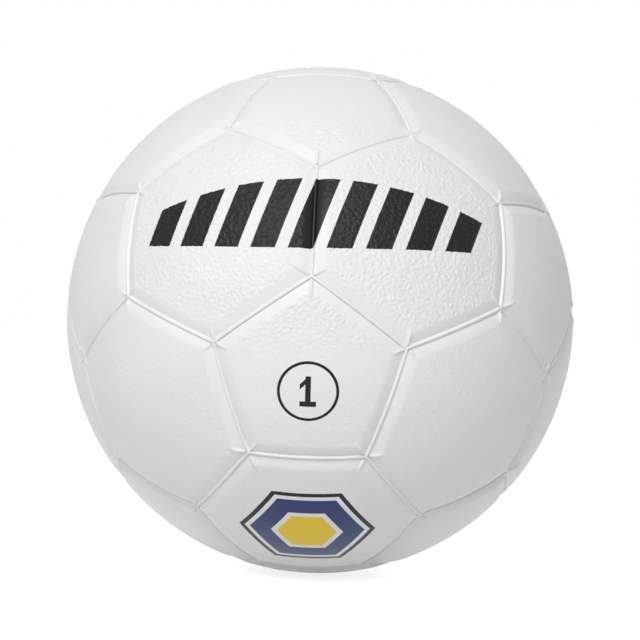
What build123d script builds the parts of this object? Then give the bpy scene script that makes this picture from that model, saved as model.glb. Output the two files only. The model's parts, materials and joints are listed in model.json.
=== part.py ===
from build123d import *
from itertools import combinations
from math import acos, asin, atan, cos, degrees, pi, radians, sin, sqrt, tan
import os

# A size one handball of moulded rubber. Its cover is 32 panels, 12 pentagons and
# 20 hexagons, bonded to a rubber carcass whose ribs come up between their edges.
# Under the carcass lie a shell of wound nylon thread and the butyl bladder. The valve
# seat is bonded to the bladder and comes out through every layer, and the valve plug
# sits in it. The origin is the centre of the ball. +Z goes out through the middle of
# the top hexagon, -Y is the front, and the plane X = 0 mirrors the ball onto itself.
# Lengths are in millimetres and angles in degrees.

# Ball and its layers, from the outside in
ball_circumference = 510.0
cover_thickness = 1.7
carcass_thickness = 0.7
winding_thickness = 0.5
bladder_thickness = 0.8
bond_film = 0.05

# Seams: the panel edges round over towards the rib that stands between them
seam_slope_width = 4.0
seam_depth = 0.9
rib_width = 1.2
rib_height = 0.6
crest_lift = 0.03
tick_length = 3.6
tick_width = 0.9
tick_rise = 0.15

# Valve seat: a collar through the wall of the ball, with a flange under the bladder
collar_diameter = 9.0
collar_recess = 0.4
collar_reach = 10.0
flange_diameter = 26.0
flange_thickness = 1.2

# Valve plug and its needle bore
plug_stem_diameter = 5.5
plug_head_diameter = 6.9
plug_head_thickness = 1.4
plug_clearance = 0.05
plug_nose = 1.5
plug_nose_round = 1.0
needle_bore_diameter = 2.0
needle_bore_depth = 10.0
needle_mouth = 0.5
slit_width = 0.15
slit_length = 3.2

# Round of the rims that show on the collar and the plug's head, and the share of the
# collar's wall that each of its two rounds may take
valve_rim_round = 0.3
collar_round_share = 0.4

# How far a cut runs past what it cuts
overrun = 5.0

# Radii of the layers
ball_radius = ball_circumference / (2 * pi)
cover_inner_radius = ball_radius - cover_thickness
carcass_outer_radius = cover_inner_radius - bond_film
carcass_inner_radius = carcass_outer_radius - carcass_thickness
winding_outer_radius = carcass_inner_radius - bond_film
winding_inner_radius = winding_outer_radius - winding_thickness
bladder_outer_radius = winding_inner_radius - bond_film
bladder_inner_radius = bladder_outer_radius - bladder_thickness
flange_outer_radius = bladder_inner_radius - bond_film
flange_inner_radius = flange_outer_radius - flange_thickness
rib_top_radius = ball_radius - seam_depth + rib_height

# Walls of the carcass pockets and of the panels, each measured from the seam
pocket_wall = rib_width / 2
panel_wall = pocket_wall + bond_film

# Heights along the valve axis, measured from the centre of the ball
collar_top = ball_radius - collar_recess
collar_end = flange_outer_radius - collar_reach
plug_head_bottom = collar_top - plug_head_thickness
plug_end = collar_end - plug_nose
needle_bore_bottom = collar_top - needle_bore_depth
collar_hole_radius = collar_diameter / 2 + bond_film
head_seat_radius = plug_head_diameter / 2 + plug_clearance
collar_wall = collar_diameter / 2 - head_seat_radius
collar_rim_round = min(valve_rim_round, collar_round_share * collar_wall)

# The panel pattern is a truncated icosahedron: its pentagons lie on the twelve corners
# of an icosahedron, and its hexagons on the twenty faces.
pentagon_sides = 5
hexagon_sides = 6
circumradius_per_edge = sqrt(58 + 18 * sqrt(5)) / 4
upper_ring_tilt = degrees(acos(sqrt((5 + 2 * sqrt(5)) / 15)))
lower_ring_tilt = degrees(acos(sqrt((5 - 2 * sqrt(5)) / 15)))
front_azimuth = -90
back_azimuth = 90
ring_turns = (0, 120, 240)
neighbour_angle_limit = 90

ball_centre = Vector(0, 0, 0)
# Spheres are turned so that their poles lie beside the panel that they make
poles_aside = (90, 0, 0)


def direction(tilt, azimuth):
    """A unit vector, tilted from +Z towards the azimuth, which runs from +X to +Y."""
    return Vector(0, 0, 1).rotate(Axis.Y, tilt).rotate(Axis.Z, azimuth)


def corner_tilt(sides):
    """The angle between the middle of a panel and its corners."""
    return degrees(asin(1 / (2 * sin(pi / sides)) / circumradius_per_edge))


def side_tilt(sides):
    """The angle between the middle of a panel and the middle of its sides."""
    return degrees(atan(tan(radians(corner_tilt(sides))) * cos(pi / sides)))


def side_azimuth(sides, side):
    """The azimuth of a side's middle, on a panel whose first corner is towards +X."""
    return (side + 1 / 2) * 360 / sides


def side_normal(sides, side):
    """The normal of the seam plane along a side, pointing out of the panel."""
    return direction(side_tilt(sides) + 90, side_azimuth(sides, side))


def cut_to_sides(sides, wall):
    """Cuts the solid in hand to a panel's outline, with walls at a distance from the seams."""
    for side in range(sides):
        outward = side_normal(sides, side)
        split(bisect_by=Plane(outward * -wall, z_dir=outward), keep=Keep.BOTTOM)


def round_over(sides, side):
    """Rounds one side of a panel down to the foot of the rib, along the seam's great circle."""
    outward = side_normal(sides, side)
    away = direction(side_tilt(sides), side_azimuth(sides, side)) * -1
    crest_radius = ball_radius + crest_lift
    crest_angle = degrees(asin(seam_slope_width / crest_radius))
    crest = Vector(0, crest_radius).rotate(Axis.Z, crest_angle)
    foot = Vector(-panel_wall, ball_radius - seam_depth)
    outside = ball_radius + overrun
    with BuildSketch(Plane(ball_centre, x_dir=outward, z_dir=outward.cross(away))) as groove:
        with BuildLine():
            TangentArc(crest, foot, tangent=Vector(1, 0).rotate(Axis.Z, crest_angle))
            Polyline(foot, (overrun, foot.Y), (overrun, outside), (crest.X, outside), crest)
        make_face()
    revolve(groove.sketch, axis=Axis(ball_centre, outward), mode=Mode.SUBTRACT)


def add_tick(sides, corner):
    """Carries the rib that ends at a corner on into the panel, as a short raised tick."""
    tick_radius = tick_width / 2
    azimuth = corner * 360 / sides
    tick_angle = degrees(tick_length / ball_radius)
    start = direction(corner_tilt(sides), azimuth) * (rib_top_radius - tick_radius)
    end = direction(corner_tilt(sides) - tick_angle, azimuth)
    end *= ball_radius + tick_rise - tick_radius
    with BuildSketch(Plane(start, z_dir=end - start)) as tick:
        Circle(tick_radius)
    extrude(tick.sketch, amount=(end - start).length)


def shape_panel(sides):
    """Makes a cover panel around +Z, with its first corner towards +X."""
    Sphere(ball_radius, rotation=poles_aside)
    Sphere(cover_inner_radius, rotation=poles_aside, mode=Mode.SUBTRACT)
    cut_to_sides(sides, panel_wall)
    for side in range(sides):
        round_over(sides, side)
    for corner in range(sides):
        add_tick(sides, corner)
    cut_to_sides(sides, panel_wall)


def shape_pocket(sides):
    """Makes the space that a panel takes up between the ribs of the carcass."""
    Sphere(ball_radius + overrun, rotation=poles_aside)
    Sphere(carcass_outer_radius, rotation=poles_aside, mode=Mode.SUBTRACT)
    cut_to_sides(sides, pocket_wall)


def bore_for_collar():
    """Cuts the hole that the valve collar passes through."""
    with BuildSketch(valve_plane) as hole:
        Circle(collar_hole_radius)
    extrude(hole.sketch, amount=ball_radius + overrun, mode=Mode.SUBTRACT)


def shape_layer(outer_radius, inner_radius):
    """Makes a round layer of the ball, with its hole for the valve collar."""
    Sphere(outer_radius)
    Sphere(inner_radius, mode=Mode.SUBTRACT)
    bore_for_collar()


def panel_plane(middle, corner):
    """The plane through the ball's centre that faces a panel, with +X towards a corner."""
    return Plane(ball_centre, x_dir=corner - middle * corner.dot(middle), z_dir=middle)


def write(builder, name):
    """Names a finished piece and writes it."""
    builder.part.label = name
    export_step(builder.part, f"parts/{name}.step")


os.makedirs("parts", exist_ok=True)

# Middles of the panels. Four rings of three pentagons go round the vertical axis.
rings = [
    (upper_ring_tilt, front_azimuth),
    (lower_ring_tilt, back_azimuth),
    (180 - lower_ring_tilt, front_azimuth),
    (180 - upper_ring_tilt, back_azimuth),
]
pentagon_middles = [
    direction(tilt, azimuth + turn) for tilt, azimuth in rings for turn in ring_turns
]
neighbours = [
    (one, two)
    for one, two in combinations(pentagon_middles, 2)
    if one.get_angle(two) < neighbour_angle_limit
]
hexagon_trios = [
    trio
    for trio in combinations(pentagon_middles, 3)
    if all(pair in neighbours for pair in combinations(trio, 2))
]

# Each pentagon points a corner at one of its neighbours. A hexagon has a corner a third
# of the way along each line between the pentagons around it.
pentagon_planes = [
    panel_plane(middle, next(sum(pair, -middle) for pair in neighbours if middle in pair))
    for middle in pentagon_middles
]
hexagon_planes = [
    panel_plane((one + two + three).normalized(), one * 2 + two)
    for one, two, three in hexagon_trios
]

# The valve is in the middle of the pentagon at the back
valve_direction = max(pentagon_middles, key=lambda middle: middle.Y)
valve_plane = Plane(ball_centre, x_dir=(1, 0, 0), z_dir=valve_direction)
valve_axis = Axis(ball_centre, valve_direction)

# Cover panels: each kind is shaped once and then laid on the ball in each of its places
with BuildPart() as pentagon_shape:
    shape_panel(pentagon_sides)

with BuildPart() as hexagon_shape:
    shape_panel(hexagon_sides)

for number, plane in enumerate(pentagon_planes, start=1):
    with BuildPart(plane) as pentagon_panel:
        add(pentagon_shape.part)
        if plane.z_dir == valve_direction:
            bore_for_collar()
    write(pentagon_panel, f"panel_pentagon_{number:02d}")

for number, plane in enumerate(hexagon_planes, start=1):
    with BuildPart(plane) as hexagon_panel:
        add(hexagon_shape.part)
    write(hexagon_panel, f"panel_hexagon_{number:02d}")

# Carcass: a rubber layer with a pocket for each panel, which leaves ribs between them
with BuildPart() as pentagon_pocket:
    shape_pocket(pentagon_sides)

with BuildPart() as hexagon_pocket:
    shape_pocket(hexagon_sides)

with BuildPart() as carcass:
    shape_layer(rib_top_radius, carcass_inner_radius)
    with Locations(*pentagon_planes):
        add(pentagon_pocket.part, mode=Mode.SUBTRACT)
    with Locations(*hexagon_planes):
        add(hexagon_pocket.part, mode=Mode.SUBTRACT)
write(carcass, "carcass")

# Winding: the nylon thread, as one shell of its wound thickness
with BuildPart() as nylon_winding:
    shape_layer(winding_outer_radius, winding_inner_radius)
write(nylon_winding, "nylon_winding")

# Bladder
with BuildPart() as bladder:
    shape_layer(bladder_outer_radius, bladder_inner_radius)
write(bladder, "bladder")

# Valve seat: its flange follows the inside of the bladder, and its collar holds the plug
with BuildPart(valve_plane) as valve_seat:
    Sphere(flange_outer_radius)
    Sphere(flange_inner_radius, mode=Mode.SUBTRACT)
    with BuildSketch(valve_plane):
        Circle(flange_diameter / 2)
    extrude(amount=ball_radius, mode=Mode.INTERSECT)
    with BuildSketch(valve_plane.offset(collar_end)):
        Circle(collar_diameter / 2)
    extrude(amount=collar_top - collar_end)
    with BuildSketch(valve_plane.offset(collar_end)):
        Circle(plug_stem_diameter / 2 + plug_clearance)
    extrude(amount=collar_top - collar_end, mode=Mode.SUBTRACT)
    with BuildSketch(valve_plane.offset(plug_head_bottom - plug_clearance)):
        Circle(head_seat_radius)
    extrude(amount=plug_head_thickness + overrun, mode=Mode.SUBTRACT)
    rims = valve_seat.edges().filter_by(GeomType.CIRCLE).group_by(valve_axis)[-1]
    fillet(rims, radius=collar_rim_round)
write(valve_seat, "valve_seat")

# Valve plug: a headed stem with a blind bore for the needle and a slit below the bore
with BuildPart(valve_plane) as valve_plug:
    with BuildSketch(valve_plane.offset(plug_end)):
        Circle(plug_stem_diameter / 2)
    extrude(amount=collar_top - plug_end)
    rims = valve_plug.edges().filter_by(GeomType.CIRCLE).sort_by(valve_axis)
    fillet(rims[0], radius=plug_nose_round)
    with BuildSketch(valve_plane.offset(plug_head_bottom)):
        Circle(plug_head_diameter / 2)
    extrude(amount=plug_head_thickness)
    with BuildSketch(valve_plane.offset(plug_end)):
        Rectangle(slit_length, slit_width)
    extrude(amount=needle_bore_bottom - plug_end, mode=Mode.SUBTRACT)
    with BuildSketch(valve_plane.offset(needle_bore_bottom)):
        Circle(needle_bore_diameter / 2)
    extrude(amount=needle_bore_depth, mode=Mode.SUBTRACT)
    rims = valve_plug.edges().filter_by(GeomType.CIRCLE).group_by(valve_axis)[-1]
    bore_rim, head_rim = rims.sort_by(SortBy.RADIUS)
    chamfer(bore_rim, length=needle_mouth)
    fillet(head_rim, radius=valve_rim_round)
write(valve_plug, "valve_plug")
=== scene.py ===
import json
from math import acos, atan, cos, pi, radians, sin, sqrt, tan

import bmesh
import bpy
import numpy as np
from mathutils import Euler, Matrix, Vector, noise


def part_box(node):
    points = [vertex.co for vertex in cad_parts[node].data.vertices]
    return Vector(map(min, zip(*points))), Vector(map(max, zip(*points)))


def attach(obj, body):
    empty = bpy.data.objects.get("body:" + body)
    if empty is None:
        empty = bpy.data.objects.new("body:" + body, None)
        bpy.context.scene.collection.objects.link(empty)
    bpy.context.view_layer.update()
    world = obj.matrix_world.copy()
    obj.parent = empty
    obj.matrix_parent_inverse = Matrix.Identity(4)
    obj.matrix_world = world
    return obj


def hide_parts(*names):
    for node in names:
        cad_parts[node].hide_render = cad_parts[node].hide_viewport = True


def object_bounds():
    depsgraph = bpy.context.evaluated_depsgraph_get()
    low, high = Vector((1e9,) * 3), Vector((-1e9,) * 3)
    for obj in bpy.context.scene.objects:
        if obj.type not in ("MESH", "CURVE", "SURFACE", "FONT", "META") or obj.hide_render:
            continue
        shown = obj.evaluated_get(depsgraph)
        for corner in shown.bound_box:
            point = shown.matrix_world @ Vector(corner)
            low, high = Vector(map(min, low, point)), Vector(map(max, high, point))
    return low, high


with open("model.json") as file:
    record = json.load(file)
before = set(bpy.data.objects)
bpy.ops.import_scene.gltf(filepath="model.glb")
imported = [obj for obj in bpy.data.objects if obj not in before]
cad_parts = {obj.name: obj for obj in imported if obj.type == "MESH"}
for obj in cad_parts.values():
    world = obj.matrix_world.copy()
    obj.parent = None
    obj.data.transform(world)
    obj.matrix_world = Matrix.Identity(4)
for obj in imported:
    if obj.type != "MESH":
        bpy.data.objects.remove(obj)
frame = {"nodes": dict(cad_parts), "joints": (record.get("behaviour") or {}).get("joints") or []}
cad_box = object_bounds()


# Bladder: the butyl bag that holds the air. It is moulded in one piece, dusted with talc so
# that the winding can settle on it, and bonded to the flange of the valve seat.
millimetre = 0.001
bladder_black = (0.020, 0.020, 0.022, 1)
bladder_talc = (0.075, 0.075, 0.078, 1)


def add_node(tree, kind, inputs, **settings):
    """Adds a node, with its settings, and sets or links each input that is given."""
    node = tree.nodes.new(kind)
    for name, value in settings.items():
        setattr(node, name, value)
    for key, value in inputs.items():
        if isinstance(value, bpy.types.NodeSocket):
            tree.links.new(value, node.inputs[key])
        else:
            node.inputs[key].default_value = value
    return node


def make_rubber_surface():
    """Makes the node group for moulded rubber: its cloudy tone, uneven sheen and fine pores."""
    group = bpy.data.node_groups.new("rubber_surface", "ShaderNodeTree")
    for name in ("Tone", "Bloom"):
        group.interface.new_socket(name, in_out="INPUT", socket_type="NodeSocketColor")
    for name in ("Cloud Scale", "Pore Scale", "Satin", "Matt"):
        group.interface.new_socket(name, in_out="INPUT", socket_type="NodeSocketFloat")
    group.interface.new_socket("Colour", in_out="OUTPUT", socket_type="NodeSocketColor")
    for name in ("Roughness", "Height"):
        group.interface.new_socket(name, in_out="OUTPUT", socket_type="NodeSocketFloat")
    given = group.nodes.new("NodeGroupInput").outputs
    place = add_node(group, "ShaderNodeTexCoord", {}).outputs["Object"]
    clouds = add_node(
        group,
        "ShaderNodeTexNoise",
        {"Vector": place, "Scale": given["Cloud Scale"], "Detail": 5.0, "Roughness": 0.6},
    )
    pores = add_node(
        group,
        "ShaderNodeTexNoise",
        {"Vector": place, "Scale": given["Pore Scale"], "Detail": 3.0, "Roughness": 0.7},
    )
    patch = add_node(
        group,
        "ShaderNodeMapRange",
        {"Value": clouds.outputs["Fac"], "From Min": 0.35, "From Max": 0.65},
    )
    colour = add_node(
        group,
        "ShaderNodeMix",
        {0: patch.outputs[0], 6: given["Tone"], 7: given["Bloom"]},
        data_type="RGBA",
    )
    sheen = add_node(
        group,
        "ShaderNodeMapRange",
        {
            "Value": clouds.outputs["Fac"],
            "From Min": 0.3,
            "From Max": 0.7,
            "To Min": given["Satin"],
            "To Max": given["Matt"],
        },
    )
    add_node(
        group,
        "NodeGroupOutput",
        {
            "Colour": colour.outputs[2],
            "Roughness": sheen.outputs[0],
            "Height": pores.outputs["Fac"],
        },
    )
    return group


rubber_surface = make_rubber_surface()


def add_finish(name):
    """Adds a material with the standard shader."""
    finish = bpy.data.materials.new(name)
    finish.use_nodes = True
    return finish


def make_rubber(name, tone, bloom, cloud_scale, pore_scale, satin, matt, pore_depth):
    """Makes a rubber finish around the shared surface."""
    finish = add_finish(name)
    tree = finish.node_tree
    surface = add_node(
        tree,
        "ShaderNodeGroup",
        {
            "Tone": tone,
            "Bloom": bloom,
            "Cloud Scale": cloud_scale,
            "Pore Scale": pore_scale,
            "Satin": satin,
            "Matt": matt,
        },
        node_tree=rubber_surface,
        name="surface",
    )
    bump = add_node(
        tree,
        "ShaderNodeBump",
        {"Height": surface.outputs["Height"], "Distance": pore_depth, "Strength": 1.0},
    )
    shader = tree.nodes["Principled BSDF"]
    tree.links.new(surface.outputs["Colour"], shader.inputs["Base Color"])
    tree.links.new(surface.outputs["Roughness"], shader.inputs["Roughness"])
    tree.links.new(bump.outputs["Normal"], shader.inputs["Normal"])
    return finish


def dress(node, finish):
    """Gives a CAD node its finish."""
    for slot in frame["nodes"][node].material_slots:
        slot.material = finish


bladder_butyl = make_rubber(
    "bladder_butyl",
    bladder_black,
    bladder_talc,
    cloud_scale=60.0,
    pore_scale=900.0,
    satin=0.45,
    matt=0.7,
    pore_depth=0.02 * millimetre,
)
dress("bladder", bladder_butyl)


# Valve: a rubber seat bonded to the bladder, which comes out through every layer of the ball,
# and the soft plug pressed into it, whose bore takes the pump needle.
valve_grey = (0.028, 0.028, 0.030, 1)
valve_bloom = (0.045, 0.045, 0.047, 1)
valve_rubber = make_rubber(
    "valve_rubber",
    valve_grey,
    valve_bloom,
    cloud_scale=250.0,
    pore_scale=2500.0,
    satin=0.38,
    matt=0.55,
    pore_depth=0.01 * millimetre,
)
for node in ("valve_seat", "valve_plug"):
    dress(node, valve_rubber)


# Winding: kilometres of nylon thread wound round the bladder in every direction, which hold
# it round. Latex glues the crossings, so that the threads lie as one shell.
thread_white = (0.62, 0.60, 0.54, 1)
# Painted shade: the colour given to the low places between the threads, where shade falls.
thread_groove_shade = (0.30, 0.28, 0.24, 1)
thread_relief = 0.1 * millimetre
lay_turns = ((0.3, 0.2, 0.0), (1.3, 0.5, 0.9), (0.7, 1.5, 2.1))


def combine(tree, operation, one, two=0.0, three=0.0):
    """The result of a math node."""
    node = add_node(tree, "ShaderNodeMath", {0: one, 1: two, 2: three}, operation=operation)
    return node.outputs[0]


def make_winding():
    """Makes the finish of the wound thread: lays of thread that cross one another, with painted
    shade in the low places between them.
    """
    finish = add_finish("winding_nylon")
    tree = finish.node_tree
    place = add_node(tree, "ShaderNodeTexCoord", {}).outputs["Object"]
    top = 0.0
    for turn in lay_turns:
        laid = add_node(tree, "ShaderNodeMapping", {"Vector": place, "Rotation": turn})
        threads = add_node(
            tree,
            "ShaderNodeTexWave",
            {"Vector": laid.outputs[0], "Scale": 400.0, "Distortion": 1.5, "Detail Scale": 0.2},
        )
        top = combine(tree, "MAXIMUM", threads.outputs["Fac"], top)
    # Painted shade: the threads are coloured darker where they lie lower, by the same height as
    # their bump.
    colour = add_node(
        tree, "ShaderNodeMix", {0: top, 6: thread_groove_shade, 7: thread_white}, data_type="RGBA"
    )
    bump = add_node(
        tree, "ShaderNodeBump", {"Height": top, "Distance": thread_relief, "Strength": 1.0}
    )
    shader = tree.nodes["Principled BSDF"]
    shader.inputs["Roughness"].default_value = 0.6
    tree.links.new(colour.outputs[2], shader.inputs["Base Color"])
    tree.links.new(bump.outputs["Normal"], shader.inputs["Normal"])
    return finish


dress("nylon_winding", make_winding())


# Carcass: the rubber layer under the cover. Where two panels meet, its rubber is pressed up
# between their edges in the mould and stands there as a thin rounded rib.
ball_radius = -cad_box[0].z
cover_thickness = 1.7 * millimetre
bond_film = 0.05 * millimetre
carcass_radius = ball_radius - cover_thickness - bond_film
carcass_thickness = 0.7 * millimetre
seam_depth = 0.9 * millimetre
rib_foot_radius = ball_radius - seam_depth
rib_height = 0.6 * millimetre
rib_half_width = 0.60 * millimetre
rib_roundness = 2.5
rib_rings = 6
last_ring_share = 1.12
rib_reach_share = 1.10
panel_rows = 10
long_edge = 5 * millimetre
collar_hole_radius = 4.55 * millimetre
hole_cut_share = 0.8
hole_rim_share = 1.06
white_rubber = (0.800, 0.807, 0.812, 1)
cream_rubber = (0.776, 0.783, 0.788, 1)
cover_pore_depth = 0.012 * millimetre
cover_gloss = 0.24

# The seams lie along the edges of an icosahedron whose corners are cut off a third of the way
# along, turned so that the middle of a hexagon is on top and a pentagon faces the front.
pattern = bmesh.new()
bmesh.ops.create_icosphere(pattern, subdivisions=1, radius=1)
corner_tilt = acos(sqrt((5 + 2 * sqrt(5)) / 15))
facing = Matrix.Rotation(corner_tilt, 3, "X") @ Matrix.Rotation(-pi / 2, 3, "Z")
bmesh.ops.rotate(pattern, verts=pattern.verts, matrix=facing)
bmesh.ops.bevel(
    pattern,
    geom=pattern.verts[:],
    offset=100 / 3,
    offset_type="PERCENT",
    affect="VERTICES",
    segments=1,
    profile=0.5,
    material=-1,
)
for corner in pattern.verts:
    corner.co.normalize()


def seam_normals(face):
    """The normals of the planes along a panel's seams, which point into the panel."""
    corners = [vert.co for vert in face.verts]
    normals = [one.cross(two).normalized() for one, two in zip(corners, corners[1:] + corners[:1])]
    inward = 1 if normals[0].dot(face.calc_center_median()) > 0 else -1
    return np.array([normal * inward for normal in normals])


def seam_distances(directions, normals):
    """How far points on the ball, given by their directions, lie from each seam of a panel."""
    return directions @ normals.T * ball_radius


def make_mesh(name, shape):
    """Makes a mesh of a finished shape."""
    mesh = bpy.data.meshes.new(name)
    shape.to_mesh(mesh)
    shape.free()
    return mesh


def points_of(mesh):
    """The vertices of a mesh as rows of an array."""
    points = np.empty(len(mesh.vertices) * 3, np.float32)
    mesh.vertices.foreach_get("co", points)
    return points.reshape(-1, 3).astype(float)


def set_points(mesh, points):
    """Moves the vertices of a mesh to the rows of an array."""
    mesh.vertices.foreach_set("co", points.astype(np.float32).ravel())
    mesh.update()


def add_object(name, data):
    """Adds a mesh, a lamp or a camera to the scene."""
    added = bpy.data.objects.new(name, data)
    bpy.context.scene.collection.objects.link(added)
    return added


def add_piece(name, mesh, finish, node):
    """Adds a mesh to the ball in place of a CAD node."""
    piece = add_object(name, mesh)
    mesh.materials.append(finish)
    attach(piece, "ball")
    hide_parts(node)


# Each field of the pattern is inset ring by ring for its rib and by the bond film for the wall
# of the rib, then divided evenly and opened for the valve.
valve_axis = Vector(frame["joints"][0]["axis"])
carcass_shape = pattern.copy()
bmesh.ops.scale(carcass_shape, vec=(carcass_radius,) * 3, verts=carcass_shape.verts)
fields = carcass_shape.faces[:]
ring_width = last_ring_share * rib_half_width / rib_rings
for width in [ring_width] * rib_rings + [bond_film]:
    bmesh.ops.inset_individual(carcass_shape, faces=fields, thickness=width, use_even_offset=True)
bmesh.ops.poke(carcass_shape, faces=fields)
long_edges = [edge for edge in carcass_shape.edges if edge.calc_length() > long_edge]
bmesh.ops.subdivide_edges(
    carcass_shape, edges=long_edges, cuts=panel_rows - 1, use_grid_fill=True
)
at_valve = [
    vert
    for vert in carcass_shape.verts
    if vert.co.normalized().angle(valve_axis) * ball_radius < hole_cut_share * collar_hole_radius
]
bmesh.ops.delete(carcass_shape, geom=at_valve, context="VERTS")
for vert in carcass_shape.verts:
    vert.co = vert.co.normalized() * carcass_radius
    if vert.is_boundary:
        outward = vert.co - valve_axis * vert.co.dot(valve_axis)
        vert.co += outward.normalized() * (hole_rim_share * collar_hole_radius - outward.length)
bmesh.ops.solidify(carcass_shape, geom=carcass_shape.faces[:], thickness=carcass_thickness)
carcass_mesh = make_mesh("carcass_with_ribs", carcass_shape)
carcass_mesh.shade_smooth()

points = points_of(carcass_mesh)
reach = np.linalg.norm(points, axis=1)
directions = points / reach[:, None]
all_normals = [seam_normals(face) for face in pattern.faces]
from_seam = np.max([seam_distances(directions, n).min(1) for n in all_normals], axis=0)
on_outside = np.abs(reach - carcass_radius) < carcass_thickness / 4
across = np.clip(from_seam / rib_half_width, 0, 1)
rib = rib_foot_radius + rib_height * (1 - across**rib_roundness)
on_rib = on_outside & (from_seam < rib_reach_share * rib_half_width)
radius = np.where(on_outside, carcass_radius, carcass_radius - carcass_thickness)
radius = np.where(on_rib, rib, radius)
set_points(carcass_mesh, directions * radius[:, None])

cover_white = make_rubber(
    "cover_rubber",
    white_rubber,
    cream_rubber,
    cloud_scale=45.0,
    pore_scale=3000.0,
    satin=0.30,
    matt=0.40,
    pore_depth=cover_pore_depth,
)
cover_tree = cover_white.node_tree
cover_shader = cover_tree.nodes["Principled BSDF"]
cover_shader.inputs["Specular IOR Level"].default_value = cover_gloss
add_piece("carcass_with_ribs", carcass_mesh, cover_white, "carcass")


# Cover: 12 pentagons and 20 hexagons of white rubber, bonded to the carcass between its ribs.
# Each panel rounds down to its seams and is pebbled inside a smooth rim, deepest at the front.
panel_wall = 0.65 * millimetre
seam_slope_width = 4.0 * millimetre
slope_power = 1.5
corner_blend = 4
fine_rows = 90
top_level = 2
between_levels = 1.5
sharp_edge = radians(60)
tick_half_width = 0.5 * millimetre
tick_lengths = (3.0 * millimetre, 6.5 * millimetre)
tick_fade_share = 0.5
tick_draws = np.random.default_rng(32)
grain_size = 0.58 * millimetre
grain_tilt = radians(20)
grain_spread = np.array((0.7, 1.0, 1.3))
grain_reach = (0.42, 0.62)
grain_heights = (0.34 * millimetre, 0.09 * millimetre)
smooth_rim = 2.6 * millimetre
grain_fade = 1.6 * millimetre
crease_share = 0.3
valve_rows = 30
valve_open_rows = 6
opening_spread_share = 0.4
valve_field_radius = 6.0 * millimetre
same_direction = 0.99
badge_tilt = radians(-48)
badge_size = 17 * millimetre


def rim_shares(flat, sides, side_tilt):
    """How far points of a flat panel lie out from its middle, as shares of the way to its rim."""
    turns = (np.arange(sides) + 0.5) * 2 * pi / sides
    return (flat @ np.array([np.cos(turns), np.sin(turns)])).max(1) / tan(side_tilt)


def round_opening(mesh, sides, side_tilt):
    """Draws the rows around the middle of the valve panel into circles, down to the collar."""
    points = points_of(mesh)
    flat = points[:, :2] / points[:, 2:]
    rows = rim_shares(flat, sides, side_tilt)
    opening = rows.min()
    share = np.clip((rows - opening) / opening_spread_share, 0, 1)
    on_top = points[:, 2] > between_levels
    surface = np.where(on_top, ball_radius, ball_radius - cover_thickness)
    circles = rows / opening * np.tan(np.arcsin(collar_hole_radius / surface))
    distances = np.linalg.norm(flat, axis=1)
    drawn = circles + (distances - circles) * share**2 * (3 - 2 * share)
    points[:, :2] *= (drawn / distances)[:, None]
    set_points(mesh, points)


def make_blank(face, coarse_rows, open_rows=0):
    """Makes a flat panel of a face's kind, its underside at height 1, its fine top at top_level."""
    sides = len(face.verts)
    tilt = face.calc_center_median().angle(face.verts[0].co)
    side_tilt = atan(tan(tilt) * cos(pi / sides))
    shrink = tan(side_tilt - panel_wall / ball_radius) / tan(side_tilt)
    blank = bmesh.new()
    bmesh.ops.create_circle(
        blank, cap_ends=True, cap_tris=True, segments=sides, radius=shrink * tan(tilt)
    )
    bmesh.ops.rotate(blank, verts=blank.verts, matrix=Matrix.Rotation(-pi / 2, 3, "Z"))
    bmesh.ops.translate(blank, verts=blank.verts, vec=(0, 0, 1))
    bmesh.ops.subdivide_edges(
        blank, edges=blank.edges[:], cuts=coarse_rows - 1, use_grid_fill=True
    )
    if open_rows:
        shares = rim_shares(np.array([vert.co.xy for vert in blank.verts]), sides, side_tilt)
        limit = shrink * (open_rows - 0.5) / coarse_rows
        inside = [vert for vert, share in zip(blank.verts, shares) if share < limit]
        bmesh.ops.delete(blank, geom=inside, context="VERTS")
    grown = bmesh.ops.extrude_face_region(blank, geom=blank.faces[:], use_keep_orig=True)
    upper = {item for item in grown["geom"] if isinstance(item, bmesh.types.BMVert)}
    bmesh.ops.scale(blank, vec=(top_level,) * 3, verts=list(upper))
    upper_edges = [edge for edge in blank.edges if upper.issuperset(edge.verts)]
    bmesh.ops.subdivide_edges(
        blank, edges=upper_edges, cuts=fine_rows // coarse_rows - 1, use_grid_fill=True
    )
    bmesh.ops.recalc_face_normals(blank, faces=blank.faces)
    mesh = make_mesh("panel_blank", blank)
    mesh.shade_smooth()
    mesh.set_sharp_from_angle(angle=sharp_edge)
    if open_rows:
        round_opening(mesh, sides, side_tilt)
    return mesh


def front_direction(tilt):
    """The direction of a place in the middle of the front, at a tilt over the level."""
    return np.array((0, -cos(tilt), sin(tilt)))


def arc_lengths(directions, place):
    """How far points on the ball lie from a place on it, along its surface."""
    return np.arccos(np.clip(directions @ np.array(place), -1, 1)) * ball_radius


def draw_ticks(directions, corners, middle):
    """The heights of the ticks, which run from the corners of a panel towards its middle."""
    ticks = np.zeros(len(directions))
    for corner in corners:
        length = tick_draws.uniform(*tick_lengths)
        onward = 1 - arc_lengths(directions, corner) / length
        onward = np.clip(onward / tick_fade_share, 0, 1)
        beside = np.abs(directions @ np.array(corner.cross(middle).normalized())) * ball_radius
        across = np.clip(1 - (beside / tick_half_width) ** 2, 0, 1)
        ticks = np.maximum(ticks, rib_height * across * onward)
    return ticks


def grain_depths(directions, from_seam):
    """How deep the grain is: none on the rim, at the badge and the valve, most at the front."""
    from_smooth = (
        from_seam - smooth_rim,
        arc_lengths(directions, front_direction(badge_tilt)) - badge_size,
        arc_lengths(directions, valve_axis) - valve_field_radius,
    )
    pebbled = np.clip(np.min(from_smooth, axis=0) / grain_fade, 0, 1)
    from_front = (directions - front_direction(grain_tilt)) * grain_spread
    return np.interp(np.linalg.norm(from_front, axis=1), grain_reach, grain_heights) * pebbled


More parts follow.
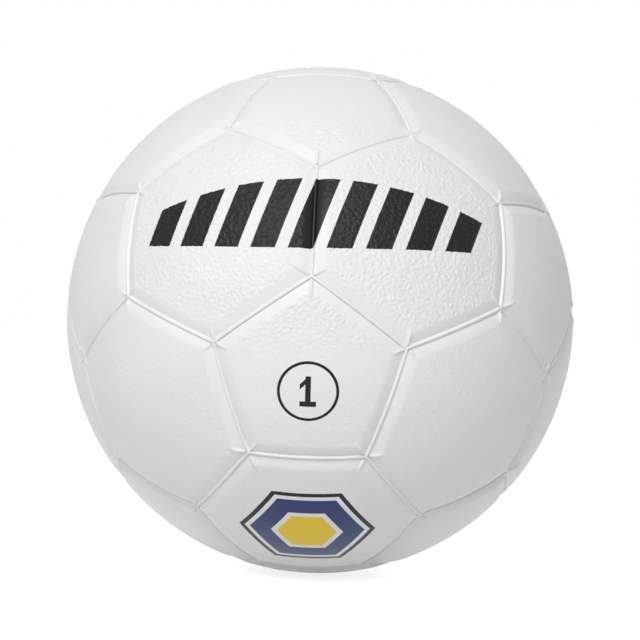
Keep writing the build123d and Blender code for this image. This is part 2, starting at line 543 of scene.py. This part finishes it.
def lay_panel(blank, face):
    """Lays a blank over its place on the ball and gives it its crown, seams, ticks and grain."""
    middle = face.calc_center_median().normalized()
    corners = [vert.co for vert in face.verts]
    along = (corners[0] - middle * corners[0].dot(middle)).normalized()
    turn = Matrix((along, middle.cross(along), middle)).transposed()
    mesh = blank.copy()
    mesh.transform(turn.to_4x4())
    points = points_of(mesh)
    on_top = points @ np.array(middle) > between_levels
    directions = points / np.linalg.norm(points, axis=1)[:, None]
    distances = seam_distances(directions, seam_normals(face))
    slopes = np.clip(1 - (distances - panel_wall) / (seam_slope_width - panel_wall), 0, 1)
    slope = (slopes ** (slope_power * corner_blend)).sum(1) ** (1 / corner_blend)
    dip = seam_depth * np.minimum(slope, 1)
    ticks = draw_ticks(directions, corners, middle)
    pebbles = np.array([noise.noise(point) for point in directions * (ball_radius / grain_size)])
    depth = grain_depths(directions, distances.min(1))
    crown = ball_radius - dip + ticks + depth * pebbles
    radius = np.where(on_top, crown, ball_radius - cover_thickness)
    set_points(mesh, directions * radius[:, None])
    pebble_depth = mesh.attributes.new("pebble_depth", "FLOAT", "POINT")
    pebble_depth.data.foreach_set("value", depth.astype(np.float32))
    return mesh


hexagon = next(face for face in pattern.faces if len(face.verts) == 6)
pentagon = next(face for face in pattern.faces if len(face.verts) == 5)
blanks = {6: make_blank(hexagon, panel_rows), 5: make_blank(pentagon, panel_rows)}
valve_blank = make_blank(pentagon, valve_rows, valve_open_rows)
panel_nodes = [node for node in frame["nodes"] if node.startswith("panel_")]
node_middles = {node: sum(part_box(node), Vector()).normalized() for node in panel_nodes}
for face in pattern.faces:
    middle = face.calc_center_median().normalized()
    node = max(panel_nodes, key=lambda name: node_middles[name].dot(middle))
    has_valve = middle.dot(valve_axis) > same_direction
    mesh = lay_panel(valve_blank if has_valve else blanks[len(face.verts)], face)
    add_piece(node.replace("panel", "cover"), mesh, cover_white, node)
pattern.free()

# The pores of the rubber run deeper where the grain is deeper.
cover_surface = cover_tree.nodes["surface"].outputs
pebble_depth = add_node(cover_tree, "ShaderNodeAttribute", {}, attribute_name="pebble_depth")
crease = combine(
    cover_tree, "MULTIPLY_ADD", pebble_depth.outputs["Fac"], crease_share / cover_pore_depth, 1.0
)
crease = combine(cover_tree, "MULTIPLY", cover_surface["Height"], crease)
cover_tree.links.new(crease, cover_tree.nodes["Bump"].inputs["Height"])


# Print: ink laid on the finished ball with soft pads: a band of leaning bars over the two upper
# hexagons, the size number on the front pentagon, and a badge of rings on the hexagon below.
ink_black = (0.003, 0.003, 0.004, 1)
ink_blue = (0.017, 0.033, 0.138, 1)
ink_yellow = (0.82, 0.57, 0.014, 1)
bare = (0, 0, 0, 0)
ink_roughness = 0.32
band_tilt = radians(22)
band_half_height = 10.5 * millimetre
band_bars = 9
bar_pitch = 10.4 * millimetre
bar_width_share = 0.66
bar_lean_share = 0.32
band_narrowing_share = 0.55
number_tilt = radians(-13)
number_height = 8.5 * millimetre
number_stroke = 1.5 * millimetre
number_ring_radius = 8.0 * millimetre
number_ring_line = 0.8 * millimetre
badge_rings = (
    (0.00, ink_yellow),
    (0.44, bare),
    (0.53, ink_blue),
    (0.84, bare),
    (0.92, ink_black),
)


def place_mark(tree, tilt):
    """How far a point lies across and above a mark at a tilt over the front, if it faces it."""
    place = add_node(tree, "ShaderNodeTexCoord", {}).outputs["Object"]
    turned = add_node(tree, "ShaderNodeMapping", {"Vector": place, "Rotation": (tilt, 0, 0)})
    parts = add_node(tree, "ShaderNodeSeparateXYZ", {0: turned.outputs[0]}).outputs
    return parts["X"], parts["Z"], combine(tree, "LESS_THAN", parts["Y"])


def draw_band(tree, across, above):
    """The mask of the band: leaning bars, the middle one on the seam, shorter towards the ends."""
    leaning = combine(tree, "MULTIPLY_ADD", above, -bar_lean_share, across)
    along = combine(tree, "DIVIDE", leaning, bar_pitch)
    within = combine(tree, "COMPARE", along, 0.0, band_bars / 2)
    cell = combine(tree, "FRACT", combine(tree, "ADD", along, band_bars + 0.5))
    bars = combine(tree, "COMPARE", cell, 0.5, bar_width_share / 2)
    share = combine(tree, "DIVIDE", along, band_bars / 2)
    narrowing = combine(tree, "MULTIPLY", share, share)
    height = combine(tree, "MULTIPLY", narrowing, -band_narrowing_share * band_half_height)
    height = combine(tree, "ADD", height, band_half_height)
    low = combine(tree, "LESS_THAN", combine(tree, "ABSOLUTE", above), height)
    return combine(tree, "MULTIPLY", combine(tree, "MULTIPLY", within, bars), low)


def draw_bar(tree, across, above, middle, half_size):
    """The mask of an upright bar."""
    return combine(
        tree,
        "MULTIPLY",
        combine(tree, "COMPARE", across, middle[0], half_size[0]),
        combine(tree, "COMPARE", above, middle[1], half_size[1]),
    )


def draw_one(tree, across, above):
    """The mask of the figure 1, with a stem, a flag and a foot, in a ring."""
    half = number_height / 2
    stroke = number_stroke / 2
    foot_half = 3 * stroke
    flag_half = 1.5 * stroke
    stem = draw_bar(tree, across, above, (0, 0), (stroke, half))
    foot = draw_bar(tree, across, above, (0, stroke - half), (foot_half, stroke))
    sloped = combine(tree, "SUBTRACT", above, across)
    flag = draw_bar(tree, across, sloped, (-flag_half, half - stroke), (flag_half, stroke))
    squares = combine(tree, "MULTIPLY_ADD", above, above, combine(tree, "MULTIPLY", across, across))
    distance = combine(tree, "SQRT", squares)
    ring = combine(tree, "COMPARE", distance, number_ring_radius, number_ring_line / 2)
    figure = combine(tree, "MAXIMUM", stem, combine(tree, "MAXIMUM", foot, flag))
    return combine(tree, "MAXIMUM", figure, ring)


def make_printed_marks():
    """Makes the node group that lays the inks over the colour of the rubber."""
    group = bpy.data.node_groups.new("printed_marks", "ShaderNodeTree")
    group.interface.new_socket("Rubber", in_out="INPUT", socket_type="NodeSocketColor")
    group.interface.new_socket("Colour", in_out="OUTPUT", socket_type="NodeSocketColor")
    group.interface.new_socket("Ink", in_out="OUTPUT", socket_type="NodeSocketFloat")
    rubber = group.nodes.new("NodeGroupInput").outputs["Rubber"]

    across, above, facing = place_mark(group, number_tilt)
    black = combine(group, "MULTIPLY", draw_one(group, across, above), facing)
    across, above, facing = place_mark(group, band_tilt)
    band = combine(group, "MULTIPLY", draw_band(group, across, above), facing)
    black = combine(group, "MAXIMUM", black, band)

    across, above, facing = place_mark(group, badge_tilt)
    across = combine(group, "ABSOLUTE", across)
    above = combine(group, "ABSOLUTE", above)
    slant = combine(group, "MULTIPLY", across, cos(pi / 6))
    slant = combine(group, "MULTIPLY_ADD", above, sin(pi / 6), slant)
    reach = combine(group, "DIVIDE", combine(group, "MAXIMUM", slant, above), badge_size)
    badge = add_node(group, "ShaderNodeValToRGB", {0: reach})
    ramp = badge.color_ramp
    ramp.interpolation = "CONSTANT"
    while len(ramp.elements) < len(badge_rings):
        ramp.elements.new(1.0)
    for element, (start, colour) in zip(ramp.elements, badge_rings):
        element.position = start
        element.color = colour
    within = combine(group, "LESS_THAN", reach, 1.0)
    shown = combine(group, "MULTIPLY", badge.outputs["Alpha"], within)
    shown = combine(group, "MULTIPLY", shown, facing)

    colour = add_node(
        group, "ShaderNodeMix", {0: shown, 6: rubber, 7: badge.outputs["Color"]}, data_type="RGBA"
    )
    colour = add_node(
        group, "ShaderNodeMix", {0: black, 6: colour.outputs[2], 7: ink_black}, data_type="RGBA"
    )
    ink = combine(group, "MAXIMUM", black, shown)
    add_node(group, "NodeGroupOutput", {"Colour": colour.outputs[2], "Ink": ink})
    return group


marks = add_node(
    cover_tree,
    "ShaderNodeGroup",
    {"Rubber": cover_surface["Colour"]},
    node_tree=make_printed_marks(),
)
sheen = add_node(
    cover_tree,
    "ShaderNodeMix",
    {0: marks.outputs["Ink"], 2: cover_surface["Roughness"], 3: ink_roughness},
)
cover_tree.links.new(marks.outputs["Colour"], cover_shader.inputs["Base Color"])
cover_tree.links.new(sheen.outputs[0], cover_shader.inputs["Roughness"])


# Studio: a pale floor under the ball, a large soft lamp above the camera, a small one low behind
# the ball for its rim, and even light from all round.
floor_size = 6.0
floor_grey = (0.82, 0.82, 0.82, 1)
floor_lift = 0.80
ambient_strength = 0.25
lamp_distance = 1.2


def find_seen(tree):
    """Whether a ray shows the background, to the camera or in something glossy or clear."""
    rays = add_node(tree, "ShaderNodeLightPath", {}).outputs
    seen = rays["Is Camera Ray"]
    for kind in ("Is Glossy Ray", "Is Transmission Ray"):
        seen = combine(tree, "MAXIMUM", seen, rays[kind])
    return seen


def hang_lamp(name, towards, size, power):
    """Hangs a round soft lamp that faces the ball from a direction."""
    lamp = bpy.data.lights.new(name, "AREA")
    lamp.shape = "DISK"
    lamp.size = size
    lamp.energy = power
    hung = add_object(name, lamp)
    hung.location = Vector(towards).normalized() * lamp_distance
    hung.rotation_euler = hung.location.to_track_quat("Z", "Y").to_euler()


floor_shape = bmesh.new()
bmesh.ops.create_grid(floor_shape, x_segments=1, y_segments=1, size=floor_size / 2)
bmesh.ops.translate(floor_shape, verts=floor_shape.verts, vec=(0, 0, cad_box[0].z))
floor = add_object("floor", make_mesh("floor", floor_shape))
floor_finish = add_finish("floor_white")
floor.data.materials.append(floor_finish)
floor_tree = floor_finish.node_tree
floor_shader = floor_tree.nodes["Principled BSDF"]
floor_shader.inputs["Base Color"].default_value = floor_grey
floor_shader.inputs["Roughness"].default_value = 0.9
floor_shader.inputs["Specular IOR Level"].default_value = 0.0
floor_shader.inputs["Emission Color"].default_value = (1, 1, 1, 1)
lift = combine(floor_tree, "MULTIPLY", find_seen(floor_tree), floor_lift)
floor_tree.links.new(lift, floor_shader.inputs["Emission Strength"])

world = bpy.data.worlds.new("studio")
bpy.context.scene.world = world
world.use_nodes = True
sky = world.node_tree
background = sky.nodes["Background"]
background.inputs["Color"].default_value = (1, 1, 1, 1)
strength = combine(
    sky, "MULTIPLY_ADD", find_seen(sky), 1.0 - ambient_strength, ambient_strength
)
sky.links.new(strength, background.inputs["Strength"])

hang_lamp("soft_lamp", (-0.14, -0.78, 0.62), size=0.9, power=11.4)
hang_lamp("rim_lamp", (0, 1, 0.16), size=0.5, power=6.0)


# Camera: level with the middle of the ball, which is turned a little from the camera's axis. The
# turn, the distance and the focal length come from the seams and the outline in the photograph.
camera_distance = 5.5 * ball_radius
ball_turn = Euler((radians(0.76), radians(1.89), radians(-1.89)), "XYZ").to_matrix()
focal_pixels = 1368
image_pixels = 640
lens = bpy.data.cameras.new("camera")
lens.sensor_width = 36.0
lens.lens = lens.sensor_width * focal_pixels / image_pixels
camera = add_object("camera", lens)
looking = ball_turn.transposed() @ Matrix.Rotation(pi / 2, 3, "X")
camera.matrix_world = Matrix.Translation(looking.col[2] * camera_distance) @ looking.to_4x4()
bpy.context.scene.camera = camera
bpy.context.scene.view_settings.view_transform = "Standard"
